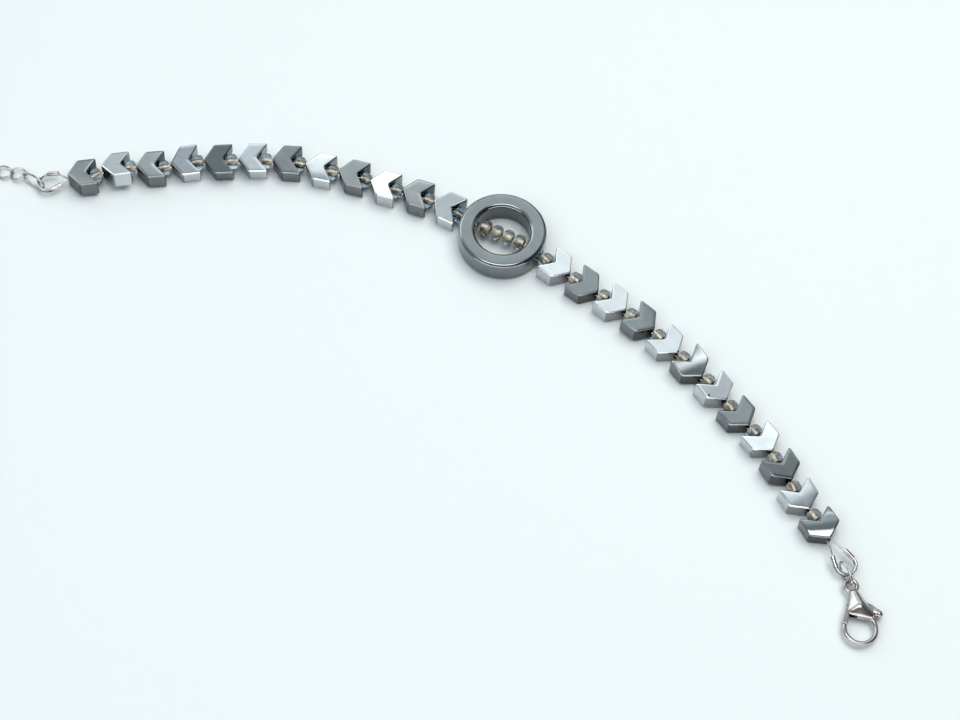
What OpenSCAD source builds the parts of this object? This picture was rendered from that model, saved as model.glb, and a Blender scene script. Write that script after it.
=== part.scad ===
// Hematite bracelet, undone and lying on a table: a carrier ring in the middle,
// a row of chevron beads on each side of it that point away from the ring,
// a small glass bead in the notch of every chevron and four across the ring's hole,
// all on one doubled beading wire that turns round a wire guard at each end.
// The left end carries an extension chain and the right end a lobster clasp.
// All sizes are in millimetres. +X runs to the right along the strand, +Y away, +Z up.

/* [Place of the ring] */
// Ring's centre to the right of the middle of the whole bracelet
ring_x = 19.6; // [10:0.05:30]
// Ring's centre behind the middle of the whole bracelet
ring_y = 28.8; // [20:0.05:40]
// Way the wire runs through the ring, in degrees from +X
ring_turn = -21; // [-40:1:0]
// How far the wire runs behind the ring's centre
ring_aside = 0.26; // [0:0.02:0.5]

/* [Ring] */
// Outer diameter of the ring
ring_d = 15.7; // [14:0.1:20]
// Hole of the ring
ring_hole = 10; // [8:0.1:11]
// Thickness of the ring
ring_t = 4.1; // [3.4:0.1:5]
// Bevel along the ring's rims
ring_bevel = 0.5; // [0.1:0.05:0.6]

/* [Chevron beads] */
// Chevrons on each side of the ring
per_side = 12; // [4:1:12]
// Width of a chevron across its two arms
chevron_w = 6; // [5:0.1:6.4]
// Thickness of a chevron
chevron_t = 3; // [2.4:0.1:3.4]
// Length of an arm along the strand
arm_len = 3.6; // [2.6:0.1:3.8]
// How far the shoulders lie behind the point
sweep = 2; // [1.4:0.1:2.6]
// Depth of the notch in front of the arms' tips
notch = 2.15; // [1.2:0.05:2.4]
// Radius of the upright corners
corner_r = 0.35; // [0.2:0.05:0.5]
// Hole along the strand through the ring and the chevrons
hole_d = 1.1; // [0.95:0.05:1.2]

/* [Small glass beads] */
// Diameter of a small bead
seed_d = 2.8; // [2.2:0.05:2.95]
// Length of a small bead
seed_len = 1.85; // [1.6:0.05:2.05]
// Hole of a small bead
seed_hole = 1.3; // [0.95:0.05:1.4]
// Rounding of a small bead's rims
seed_round = 0.7; // [0.5:0.05:0.9]
// Spacing of the four beads across the ring's hole
seed_pitch = 2.2; // [2.1:0.05:2.35]

/* [Line of the strand] */
// Way the left strand sets out from the ring, in degrees from +X
left_start = 156; // [145:1:165]
// Way the right strand sets out from the ring, in degrees from +X
right_start = -28.5; // [-40:0.5:-20]
// Ring's centre to the first left chevron's point
left_first = 14.1; // [13.9:0.1:15]
// Ring's centre to the first right chevron's point
right_first = 14.5; // [13.9:0.1:15]
// Spacing of the chevrons on the left
left_pitch = 6.15; // [6.1:0.05:6.4]
// Spacing of the chevrons on the right
right_pitch = 6.1; // [6.1:0.05:6.4]
// Bend of the left strand at each chevron, in degrees
left_bend = 4.6; // [0:0.1:5]
// Bend of the right strand at each chevron, in degrees
right_bend = -2.8; // [-5:0.1:0]
// Bend at each chevron of the left strand's last stretch, in degrees
left_end_bend = 1; // [-2:0.5:5]
// Chevrons that the left strand's first bend takes in
bent_beads = 9; // [4:1:12]

/* [Beading wire and wire guards] */
// Diameter of the beading wire
wire_d = 0.36; // [0.3:0.02:0.4]
// How far each of the two wires lies from the middle of a hole
wire_off = 0.2; // [0.18:0.01:0.28]
// Radius of a wire guard's bend, at the middle of its channel
guard_r = 1.8; // [1.5:0.1:2]
// Diameter of a wire guard's tubes and channel
guard_d = 0.9; // [0.8:0.05:1]
// Bore of a wire guard's tubes
guard_bore = 0.56; // [0.5:0.02:0.6]
// Length of each tube
guard_tube = 1.9; // [1.4:0.1:2.2]
// How far each tube leans in towards the strand, in degrees
guard_lean = 15; // [10:1:24]
// How far a guard slopes down from the strand to the table, in degrees
guard_slope = 7; // [0:1:12]

/* [Connecting links and extension chain] */
// Length of the left connecting link
left_link_len = 5.2; // [4.4:0.1:5.6]
// Length of the right connecting link
right_link_len = 4.8; // [4.4:0.1:5.6]
// Width of a connecting link
link_w = 2.6; // [2.4:0.1:3]
// Wire of a connecting link
link_wire = 0.45; // [0.35:0.05:0.5]
// Number of links in the extension chain
chain_links = 8; // [2:1:12]
// Length of a chain link
chain_len = 3.5; // [3.2:0.1:4]
// Width of a chain link
chain_w = 2.8; // [2.5:0.1:3]
// Wire of a chain link
chain_wire = 0.42; // [0.3:0.02:0.45]
// Twist of a chain link: how far its wire rises and dips from flat
chain_twist = 0.36; // [0.3:0.02:0.4]
// Spacing of the chain links
chain_pitch = 2.55; // [2.45:0.05:2.6]

/* [Lobster clasp] */
// Height of the clasp's middle plane above the table
clasp_z = 1.18; // [1.1:0.02:1.4]
// Radius of the eye at the middle of its bar
eye_r = 1.05; // [0.95:0.05:1.2]
// Thickness of the eye's bar
eye_bar = 0.75; // [0.6:0.05:0.8]
// Radius of the hook at the middle of its bar
hook_r = 2.66; // [2.5:0.02:2.8]
// Thickness of the hook's bar
hook_bar = 0.95; // [0.8:0.05:1]
// Thickness of the lever
lever_t = 1; // [0.8:0.1:1]
// Width of the lever's arms
lever_w = 0.9; // [0.8:0.05:0.95]
// Radius of the lever's thumb knob
knob_r = 0.72; // [0.6:0.02:0.74]
// Diameter of the hinge pin
pin_d = 0.8; // [0.6:0.05:0.8]
// Play of the hinge pin in the lever, on the radius
pin_play = 0.05; // [0.02:0.01:0.08]
// How far the lever opens, in degrees
gate_open = 25; // [10:1:30]

/* [Hidden] */
LEFT = 0;
RIGHT = 1;
$fn = 48;

// How each chevron lies, counted from the ring: its sideways drift off the strand's line,
// in mm to the left of a walk outwards, its own turn against that line, in degrees to the left,
// and its roll, in degrees, near edge up when positive.
DRIFT = 0;
YAW = 1;
ROLL = 2;
lie_left = [
    [-0.2, 2, -1], [0.2, 6, 3], [0.5, 4, -1], [0, 1, 1], [-0.1, -1, -2], [-0.3, 4, -1],
    [-0.1, 4, -7], [0.2, 2, -10], [0, 2, -4], [0.1, -2, 3], [-0.2, 0, 14], [0.3, -1, 6]
];
lie_right = [
    [-0.1, -6, 3], [-0.1, -2, 0], [0, -3, 2], [0.4, 1, 5], [-0.1, -7, 1], [-0.3, -7, 2],
    [-0.2, -6, 4], [-0.1, -1, 0], [0.3, 0, -1], [-0.2, -2, 5], [-0.5, -2, 1], [0.1, 2, -2]
];

// Where each wire guard lies: its bend's centre ahead of and beside the last chevron's point,
// and its own turn against the strand, in degrees.
AHEAD = 0;
ASIDE = 1;
TURN = 2;
guard_lie = [[3.6, -0.2, 5], [4.85, 0.3, 3.5]];

// Where each connecting link lies: its direction outwards, in degrees from +X, how far its inner
// end lies past the centre of the guard's bend and to the left of it, and its lean to the left.
WAY = 0;
PAST = 1;
BESIDE = 2;
LEAN = 3;
connector_lie = [[153, -0.05, 1.05, -20], [-64, 0.85, -0.6, 15]];

// The clasp's plan, from the eye's centre: x along the clasp to its hook, y to the knob's side.
clasp_turn = -80.7;
clasp_past = [-0.08, -0.26];
pivot = [2.7, 0.25];
hook_centre = [7.65, 0.3];
hook_from = -112;
hook_to = 150;
gate_elbow = [4.2, -1.3];
gate_end = [6.72, -2.2];
gate_slant = 148;
gate_gap = 0.15;
knob_elbow = [4, 2.55];
knob = [5.3, 3.85];
lever_hub = 0.8;
slot_play = 0.1;
slot_reach = 4.2;
slot_steps = 6;
gate_tip = [7.1, -2.34];
gate_pocket = 1.4;
gate_block = 4;

// The pin ends this far above and below the middle plane; its hole is open below and ends above the pin
pin_end = 0.85;
pin_hole_end = 0.9;
pin_fit = 0.02;

// Balls that the clasp's domed body is drawn over: x, y, z and radius
dome = [[1.2, 0.2, 0, 0.75], [4.6, -0.6, 0, 0.95], [5.45, 2.2, 0, 0.92], [4.2, 0.8, 0.2, 1.35]];

// Spaces that keep neighbours apart
seed_gap = 0.2;
link_gap = 0.2;
floor_gap = 0.02;

// The first chain link is held up on the bar of the connecting link
first_raise = 0.26;
first_tilt = 12;
chain_start = 174;
chain_bend = 1.5;
chain_aside = -0.25;

notch_x = sweep + arm_len - notch;
seat = 1.72;
seat_swing = 0.95;
hole_past = 1;
ring_beads = 4;
tube_lap = 0.1;
channel_d = guard_d - 0.06;
channel_bore = guard_bore + 0.06;
mouth_past = 0.2;
mouth_in = 0.05;
guard_z = link_wire + guard_d / 2 + 0.5;
wire_sides = 6;
link_steps = 16;
bend_steps = 12;
rim_steps = 4;
corner_steps = 3;

dark = [0.36, 0.39, 0.4];
silver = [0.82, 0.84, 0.86];
glass = [0.55, 0.56, 0.55];
steel = [0.72, 0.71, 0.7];
plate = [0.85, 0.85, 0.83];

// Directions and angles in the plane of the table
function dir(a) = [cos(a), sin(a)];
function wrap(a) = a - 360 * floor((a + 180) / 360);
function heading(v) = atan2(v[1], v[0]);
function lift(p, z) = [p[0], p[1], z];
function unit(v) = v / norm(v);
function reversed(list) = [for (i = [len(list) - 1:-1:0]) list[i]];

// The strand's line, chevron by chevron, outwards from the ring
function start(s) = s == LEFT ? left_start : right_start;
function first(s) = s == LEFT ? left_first : right_first;
function pitch(s) = s == LEFT ? left_pitch : right_pitch;
function bend(s) = s == LEFT ? left_bend : right_bend;
function end_bend(s) = s == LEFT ? left_end_bend : right_bend;
function lie(s, k) = s == LEFT ? lie_left[k - 1] : lie_right[k - 1];
function step_turn(s, k) =
    start(s) + bend(s) * (min(k, bent_beads) - 1) + end_bend(s) * max(k - bent_beads, 0);
function line_at(s, k) =
    k == 1
        ? [ring_x, ring_y] + first(s) * dir(start(s))
        : line_at(s, k - 1) + pitch(s) * dir(step_turn(s, k));
function point_xy(s, k) = line_at(s, k) + lie(s, k)[DRIFT] * dir(step_turn(s, k) + 90);
function turn(s, k) = step_turn(s, k) + lie(s, k)[YAW];
function roll(s, k) = (s == LEFT ? 1 : -1) * lie(s, k)[ROLL];

// A rolled chevron rests on one lower edge, which sets the height of its hole
function hole_z(s, k) = chevron_t / 2 * cos(roll(s, k)) + chevron_w / 2 * abs(sin(roll(s, k)));
function point_at(s, k) = lift(point_xy(s, k), hole_z(s, k));
function notch_at(s, k) = point_at(s, k) - lift(notch_x * dir(turn(s, k)), 0);

// Points of the ring's drilled line, and its mouths; aside is behind the ring's centre
function in_ring(along, aside) =
    [ring_x, ring_y, ring_t / 2] + lift(along * dir(ring_turn) + aside * dir(ring_turn + 90), 0);
function ring_mouth(s, side) = in_ring((s == LEFT ? -1 : 1) * ring_d / 2, ring_aside + side * wire_off);

// Points of a round corner at q on the way from p to r
function corner(p, q, r, radius, steps) =
    let (
        a = heading(p - q),
        b = heading(r - q),
        half = abs(wrap(b - a)) / 2,
        centre = q + radius / sin(half) * dir(a + wrap(b - a) / 2),
        first = heading(q + radius / tan(half) * dir(a) - centre),
        last = heading(q + radius / tan(half) * dir(b) - centre)
    )
    [for (i = [0:steps]) centre + radius * dir(first + wrap(last - first) * i / steps)];

chevron_corners = [
    [0, 0], [-sweep, chevron_w / 2], [-sweep - arm_len, chevron_w / 2],
    [-notch_x, 0], [-sweep - arm_len, -chevron_w / 2], [-sweep, -chevron_w / 2]
];
chevron_outline = [
    for (i = [0:5])
        let (before = chevron_corners[(i + 5) % 6], after = chevron_corners[(i + 1) % 6])
        each corner(before, chevron_corners[i], after, corner_r, corner_steps)
];

module chevron(s, k) {
    color(k % 2 == 0 ? dark : silver)
        translate(point_at(s, k)) rotate([roll(s, k), 0, turn(s, k)])
            difference() {
                translate([0, 0, -chevron_t / 2]) linear_extrude(chevron_t) polygon(chevron_outline);
                translate([hole_past, 0, 0]) rotate([0, -90, 0])
                    cylinder(d = hole_d, h = notch_x + 2 * hole_past);
            }
}

module ring() {
    outline = [
        [ring_hole / 2, ring_bevel], [ring_hole / 2 + ring_bevel, 0],
        [ring_d / 2 - ring_bevel, 0], [ring_d / 2, ring_bevel],
        [ring_d / 2, ring_t - ring_bevel], [ring_d / 2 - ring_bevel, ring_t],
        [ring_hole / 2 + ring_bevel, ring_t], [ring_hole / 2, ring_t - ring_bevel]
    ];
    color(dark)
        difference() {
            translate([ring_x, ring_y, 0]) rotate_extrude($fn = 96) polygon(outline);
            translate(in_ring(0, ring_aside)) rotate([0, 90, ring_turn])
                cylinder(d = hole_d, h = ring_d + 2 * hole_past, center = true);
        }
}

// One small bead with its middle at c and its hole along v
module seed(c, v) {
    rim_at = [seed_d / 2 - seed_round, seed_len / 2 - seed_round];
    rim = [for (i = [0:rim_steps]) rim_at + seed_round * dir(90 * i / rim_steps)];
    under = [for (p = reversed(rim)) [p[0], -p[1]]];
    outline = concat([[seed_hole / 2, -seed_len / 2]], under, rim, [[seed_hole / 2, seed_len / 2]]);
    translate(c) rotate([0, acos(v[2] / norm(v)), heading(v)]) rotate_extrude($fn = 32) polygon(outline);
}

// The small beads of one strand sit in the chevrons' notches, mostly along the chevron's own line
// and partly along the wire to the bead before; spare wire is shared out on both sides.
function wire_way(s, k) = (k == 1 ? ring_mouth(s, 0) : point_at(s, k - 1)) - notch_at(s, k);
function seed_at(s, k) =
    let (
        spare = max(norm(wire_way(s, k)) - seat - seed_len / 2 - seed_gap, 0),
        own_way = -lift(dir(turn(s, k)), 0)
    )
    notch_at(s, k)
        + (seat + spare / 2) * unit(seat_swing * own_way + (1 - seat_swing) * unit(wire_way(s, k)));

module spacers(s) {
    color(glass)
        for (k = [1:per_side]) seed(seed_at(s, k), wire_way(s, k));
}

module spacers_ring() {
    color(glass)
        for (i = [0:ring_beads - 1])
            seed(in_ring((i - (ring_beads - 1) / 2) * seed_pitch, ring_aside), lift(dir(ring_turn), 0));
}

// A closed round bar swept along the points of a loop
module swept_loop(path, d, sides) {
    n = len(path);
    rings = [
        for (i = [0:n - 1])
            let (
                t = unit(path[(i + 1) % n] - path[(i + n - 1) % n]),
                u = unit(cross(t, [0, 0, 1])),
                w = cross(u, t)
            )
            for (j = [0:sides - 1]) path[i] + d / 2 * (cos(360 * j / sides) * u + sin(360 * j / sides) * w)
    ];
    faces = [
        for (i = [0:n - 1], j = [0:sides - 1])
            let (a = (i + 1) % n, b = (j + 1) % sides, far = a * sides + b)
            each [[i * sides + j, i * sides + b, far], [i * sides + j, far, a * sides + j]]
    ];
    polyhedron(rings, faces, convexity = 6);
}

// A wire guard lies in its own frame: origin at its bend's centre, +x towards the strand
function guard_turn(s) = step_turn(s, per_side) + 180 + guard_lie[s][TURN];
function guard_centre(s) =
    lift(
        point_xy(s, per_side) + guard_lie[s][AHEAD] * dir(step_turn(s, per_side))
            + guard_lie[s][ASIDE] * dir(step_turn(s, per_side) + 90),
        guard_z
    );
function guard_place(s, p) =
    guard_centre(s) + lift(p[0] * cos(guard_slope) * dir(guard_turn(s)) + p[1] * dir(guard_turn(s) + 90),
        p[0] * sin(guard_slope));
guard_arm = guard_r * dir(90 - guard_lean);
guard_mouth = guard_arm + guard_tube * dir(-guard_lean);
guard_sweep = 180 + 2 * guard_lean;

module wire_guard(s) {
    color(plate)
        translate(guard_centre(s)) rotate([0, -guard_slope, guard_turn(s)]) {
            rotate([0, 0, 90 - guard_lean]) rotate_extrude(angle = guard_sweep)
                translate([guard_r, 0]) difference() {
                    circle(d = channel_d, $fn = 24);
                    circle(d = channel_bore, $fn = 24);
                    translate([guard_bore / 4, -guard_d]) square(2 * guard_d);
                }
            for (side = [1, -1])
                translate([guard_arm[0], side * guard_arm[1], 0]) rotate([0, 90, -side * guard_lean])
                    translate([0, 0, -tube_lap]) difference() {
                        cylinder(d = guard_d, h = guard_tube + tube_lap, $fn = 24);
                        translate([0, 0, -hole_past])
                            cylinder(d = guard_bore, h = guard_tube + 2 * hole_past, $fn = 24);
                    }
        }
}

// The beading wire is one loop: out along the far lane to the right, round the right guard,
// back along the near lane to the left and round the left guard.
function far_way(s, k) = turn(s, k) + (s == LEFT ? -90 : 90);
function lane(s, k, side) = lift(side * wire_off * dir(far_way(s, k)), 0);
function bead_wire(s, k, side) =
    [for (p = [seed_at(s, k), notch_at(s, k), point_at(s, k)]) p + lane(s, k, side)];
function strand_wire(s, side) =
    concat([ring_mouth(s, side)], [for (k = [1:per_side]) each bead_wire(s, k, side)]);
function mouth_wire(s, side) =
    guard_place(s, [guard_mouth[0] + mouth_past, side * (guard_mouth[1] - mouth_in)]);
function guard_wire(s, side) = concat(
    [mouth_wire(s, side)],
    [for (i = [0:bend_steps])
        guard_place(s, guard_r * dir(side * (90 - guard_lean + guard_sweep * i / bend_steps)))],
    [mouth_wire(s, -side)]
);

module beading_wire() {
    path = concat(
        reversed(strand_wire(LEFT, 1)), strand_wire(RIGHT, 1), guard_wire(RIGHT, -1),
        reversed(strand_wire(RIGHT, -1)), strand_wire(LEFT, -1), guard_wire(LEFT, 1)
    );
    color(plate) swept_loop(path, wire_d, wire_sides);
}

// An oval link of round wire in its own frame, long along x;
// a twisted one lies flat between its neighbours
module oval_link(length, width, wire, twist) {
    path = [
        for (i = [0:link_steps - 1])
            let (a = 360 * i / link_steps)
            [(length - wire) / 2 * cos(a), (width - wire) / 2 * sin(a), -twist * sin(2 * a)]
    ];
    swept_loop(path, wire, wire_sides);
}

// A connecting link stands on edge through the guard's bend
function link_len(s) = s == LEFT ? left_link_len : right_link_len;
function link_half(s) = (link_len(s) - link_wire) / 2;
function link_way(s) = dir(connector_lie[s][WAY]);
function connector_mid(s) =
    guard_centre(s) + lift((link_half(s) - connector_lie[s][PAST]) * link_way(s)
        + connector_lie[s][BESIDE] * dir(connector_lie[s][WAY] + 90), 0);
function connector_end(s) = connector_mid(s) + lift(link_half(s) * link_way(s), 0);

module connector(s) {
    lean = connector_lie[s][LEAN];
    height = (link_w - link_wire) / 2 * cos(lean) + link_wire / 2 + floor_gap;
    color(plate)
        translate(lift(connector_mid(s), height)) rotate([90 - lean, 0, connector_lie[s][WAY]])
            oval_link(link_len(s), link_w, link_wire, 0);
}

// The extension chain sets out from the left connector and runs on to the left
chain_first = chain_len / 2 - chain_wire - link_wire / 2 - link_gap;
function chain_turn(k) = chain_start + chain_bend * (k - 1);
function chain_at(k) =
    k == 1
        ? connector_end(LEFT)
            + lift(chain_first * dir(chain_start) + chain_aside * dir(chain_start + 90), 0)
        : chain_at(k - 1) + lift(chain_pitch * dir((chain_turn(k) + chain_turn(k - 1)) / 2), 0);

module chain_link(k) {
    rest = chain_twist + chain_wire / 2;
    color(plate)
        translate(lift(chain_at(k), k == 1 ? rest + first_raise : rest))
            rotate([0, k == 1 ? first_tilt : 0, chain_turn(k)])
                oval_link(chain_len, chain_w, chain_wire, chain_twist);
}

// The clasp lies in its own frame, which starts at its eye
clasp_at = lift(connector_end(RIGHT) + lift(clasp_past, 0), clasp_z);
module in_clasp() {
    translate(clasp_at) rotate([0, 0, clasp_turn]) children();
}

// A straight arm from p to q with round ends
module arm(p, q, width) {
    translate(p) rotate(heading(q - p)) translate([0, -width / 2]) square([norm(q - p), width]);
    translate(q) circle(d = width, $fn = 24);
}

// The lever's outline, opened by a degrees
module lever_plan(a) {
    translate(pivot) rotate(a) translate(-pivot) {
        translate(pivot) circle(r = lever_hub);
        arm(pivot, gate_elbow, lever_w);
        arm(gate_elbow, gate_tip, lever_w);
        arm(pivot, knob_elbow, lever_w);
        arm(knob_elbow, knob, lever_w);
    }
}

// A block that ends in the gate's end face, moved d towards the hook:
// on the hook's side or on the gate's
module beyond_gate(d, hook_side) {
    translate(lift(gate_end - d * dir(gate_slant), 0)) rotate([0, 0, gate_slant + (hook_side ? 180 : 0)])
        translate([0, -gate_block / 2, -gate_block / 2]) cube(gate_block);
}

module clasp_body() {
    color(steel) in_clasp() difference() {
        union() {
            difference() {
                hull() for (ball = dome)
                    translate([ball[0], ball[1], ball[2]]) sphere(r = ball[3], $fn = 28);
                cylinder(r = eye_r, h = 2 * hook_bar + 2 * hole_past, center = true);
            }
            rotate_extrude() translate([eye_r, 0]) circle(d = eye_bar, $fn = 24);
            translate(hook_centre) rotate([0, 0, hook_from]) rotate_extrude(angle = hook_to - hook_from)
                translate([hook_r, 0]) circle(d = hook_bar, $fn = 24);
        }
        linear_extrude(lever_t + 2 * slot_play, center = true) intersection() {
            translate(pivot) circle(r = slot_reach);
            offset(delta = slot_play) for (i = [0:slot_steps]) lever_plan(gate_open * i / slot_steps);
        }
        translate(lift(pivot, -pin_hole_end - hole_past))
            cylinder(r = pin_d / 2 + pin_fit, h = 2 * pin_hole_end + hole_past, $fn = 24);
        intersection() {
            beyond_gate(gate_gap, false);
            translate(lift(gate_end, 0)) cylinder(r = gate_pocket, h = gate_block, center = true, $fn = 24);
        }
    }
}

module clasp_pin() {
    color(steel) in_clasp()
        translate(lift(pivot, 0)) cylinder(d = pin_d, h = 2 * pin_end, center = true, $fn = 24);
}

module clasp_lever() {
    color(steel) in_clasp() difference() {
        union() {
            linear_extrude(lever_t, center = true) lever_plan(0);
            translate(lift(knob, 0)) sphere(r = knob_r, $fn = 32);
        }
        translate(lift(pivot, 0))
            cylinder(r = pin_d / 2 + pin_play, h = lever_t + 2 * hole_past, center = true, $fn = 24);
        beyond_gate(0, true);
    }
}

ring();
spacers(LEFT);  // spacers_left
spacers_ring();
spacers(RIGHT);  // spacers_right
beading_wire();
for (k = [1:per_side]) {
    chevron(LEFT, k);
    chevron(RIGHT, k);
}
wire_guard(LEFT);  // wire_guard_left
wire_guard(RIGHT);  // wire_guard_right
connector(LEFT);  // connector_left
connector(RIGHT);  // connector_right
for (k = [1:chain_links]) {
    chain_link(k);
}
clasp_body();
clasp_pin();
clasp_lever();
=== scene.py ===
from math import cos, pi, radians, sin
import bpy
from mathutils import Matrix, Vector


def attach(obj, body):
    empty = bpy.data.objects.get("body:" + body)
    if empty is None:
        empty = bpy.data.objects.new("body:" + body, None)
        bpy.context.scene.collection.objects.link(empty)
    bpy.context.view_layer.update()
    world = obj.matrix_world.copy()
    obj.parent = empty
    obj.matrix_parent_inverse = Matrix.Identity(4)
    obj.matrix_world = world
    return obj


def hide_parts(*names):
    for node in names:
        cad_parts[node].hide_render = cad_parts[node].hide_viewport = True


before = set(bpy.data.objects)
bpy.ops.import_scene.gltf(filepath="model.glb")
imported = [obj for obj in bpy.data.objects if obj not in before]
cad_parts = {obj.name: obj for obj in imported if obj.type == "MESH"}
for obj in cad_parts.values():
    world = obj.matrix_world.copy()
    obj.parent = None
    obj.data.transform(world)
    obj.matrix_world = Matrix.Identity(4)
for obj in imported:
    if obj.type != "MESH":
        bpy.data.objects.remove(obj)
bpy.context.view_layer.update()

# Viewpoint
# The bracelet is seen from the front and above with a long lens, and the picture is turned a little
# against the table's edge. The aim is the point of the table in the middle of the picture.
MM = 0.001
VIEW_AIM = Vector((17.76, 4.13, 0)) * MM
VIEW_ELEVATION = radians(60.42)
VIEW_TURN = radians(5.42)
VIEW_DISTANCE = 393.05 * MM
LENS = 84.3
FILM_WIDTH = 36
NEAREST = 10 * MM
FARTHEST = 10

bpy.ops.object.camera_add()
camera = bpy.context.object
camera.data.sensor_fit = "HORIZONTAL"
camera.data.sensor_width = FILM_WIDTH
camera.data.lens = LENS
camera.data.clip_start = NEAREST
camera.data.clip_end = FARTHEST
eye = VIEW_AIM + VIEW_DISTANCE * Vector((0, -cos(VIEW_ELEVATION), sin(VIEW_ELEVATION)))
tilt = Matrix.Rotation(pi / 2 - VIEW_ELEVATION, 4, "X")
camera.matrix_world = Matrix.Translation(eye) @ tilt @ Matrix.Rotation(VIEW_TURN, 4, "Z")
bpy.context.scene.camera = camera


# Ring
# A flat donut ground from hematite, with a chamfer round all four rims whose corners are tumbled soft.
# It is drilled right across, and the doubled beading wire runs through the drilling and over the hole.
RING_CENTRE = Vector((19.6, 28.8, 2.05)) * MM
RING_TURN = radians(-21)
# How far the wire runs beside the ring's middle
RING_ASIDE = 0.26 * MM
RING_OUTER = 7.92 * MM
RING_INNER = 5 * MM
RING_HEIGHT = 4.3 * MM
RING_CHAMFER = 0.48 * MM
RING_CHAMFER_DEEP = 0.3 * MM
RING_SOFT = 0.14 * MM
RING_SOFT_SIDE = 0.28 * MM
RING_STEPS = 144
RING_SMOOTH = radians(30)
# How much more the large faces count in the shading than the small ones beside them, 50 being even
RING_FLATTEN = 80
BAND_MIDDLE = (RING_OUTER + RING_INNER) / 2
BAND_HALF = (RING_OUTER - RING_INNER) / 2
DRILL = 1.1 * MM
MERGE = 0.001 * MM
DARK_HEMATITE = (0.26, 0.282, 0.295)
DARK_POLISH = 0.06
# Painted shade on the ring's outer wall and on the wall of its hole: how much of their colour is kept
# beside its flat faces
RIM_SHADE = 0.78
HOLE_SHADE = 0.5
# A face whose normal rises less than this is a wall
WALL_RISE = 0.3
# The painted wall shade is a little warm: the powers of the kept colour in red and in blue
SHADE_RED = 0.95
SHADE_BLUE = 1.04
# The stone's clouds, scratches and waves: how fine they are, and how many finer layers they have
CLOUDS = (420, 5)
SCRATCHES = (2600, 4)
WAVES = (260, 1)
WAVES_DEEP = 0.012 * MM
# Where the clouds are darkest and lightest, and their share of the stone's colour there
CLOUD_TONES = [(0.3, 0.93), (0.7, 1.05)]
# The scratches' share of the stone's roughness, from the smoothest spot to the roughest
SCRATCH_SPREAD = (0.7, 1.5)
# Pits are real flaws in the stone, each painted as a dark spot: painted shade in its hollow
PIT_SHADE = (0.02, 0.02, 0.022, 1)
# How much of a pit's size is painted dark all over
PIT_FLOOR = 0.6
# Where a small pit lies at the ring's rim, and its size
RING_PIT = (Vector((16.9, 22.9, 4.3)) * MM, 0.12 * MM)
# The numbers of a colour mix's sockets: the first and the second colour, and the mixed one
FIRST = 6
SECOND = 7
MIXED = 2


def new_finish(name, metallic):
    """Starts a finish: the material, its shader, and the place on the piece that its patterns read."""
    material = bpy.data.materials.new(name)
    material.use_nodes = True
    shader = material.node_tree.nodes["Principled BSDF"]
    shader.inputs["Metallic"].default_value = metallic
    place = material.node_tree.nodes.new("ShaderNodeTexCoord").outputs["Object"]
    return material, shader, place


def mottle(tree, place, scale, detail):
    """A cloudy pattern between 0 and 1."""
    noise = tree.nodes.new("ShaderNodeTexNoise")
    noise.inputs["Scale"].default_value = scale
    noise.inputs["Detail"].default_value = detail
    tree.links.new(place, noise.inputs["Vector"])
    return noise.outputs["Fac"]


def tones(tree, value, stops):
    """Turns a value into a colour, through stops from the lowest up, each a place and a colour."""
    ramp = tree.nodes.new("ShaderNodeValToRGB")
    row = ramp.color_ramp.elements
    while len(row) > 1:
        row.remove(row[-1])
    for count, (place, colour) in enumerate(stops):
        stop = row[0] if count == 0 else row.new(place)
        stop.position = place
        stop.color = colour
    tree.links.new(value, ramp.inputs["Fac"])
    return ramp.outputs["Color"]


def spread(tree, value, low, high, start=0, end=1):
    """Turns a value that goes from start to end into one that goes from low to high."""
    scale = tree.nodes.new("ShaderNodeMapRange")
    scale.inputs["From Min"].default_value = start
    scale.inputs["From Max"].default_value = end
    scale.inputs["To Min"].default_value = low
    scale.inputs["To Max"].default_value = high
    tree.links.new(value, scale.inputs["Value"])
    return scale.outputs["Result"]


def multiplied(tree, first, second):
    """Darkens one colour by another."""
    mix = tree.nodes.new("ShaderNodeMix")
    mix.data_type = "RGBA"
    mix.blend_type = "MULTIPLY"
    mix.inputs["Factor"].default_value = 1
    tree.links.new(first, mix.inputs[FIRST])
    tree.links.new(second, mix.inputs[SECOND])
    return mix.outputs[MIXED]


def ripple(tree, shader, pattern, deep):
    """Lets the surface of a finish rise and sink with a pattern."""
    relief = tree.nodes.new("ShaderNodeBump")
    relief.inputs["Strength"].default_value = 1
    relief.inputs["Distance"].default_value = deep
    tree.links.new(pattern, relief.inputs["Height"])
    tree.links.new(relief.outputs["Normal"], shader.inputs["Normal"])


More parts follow.
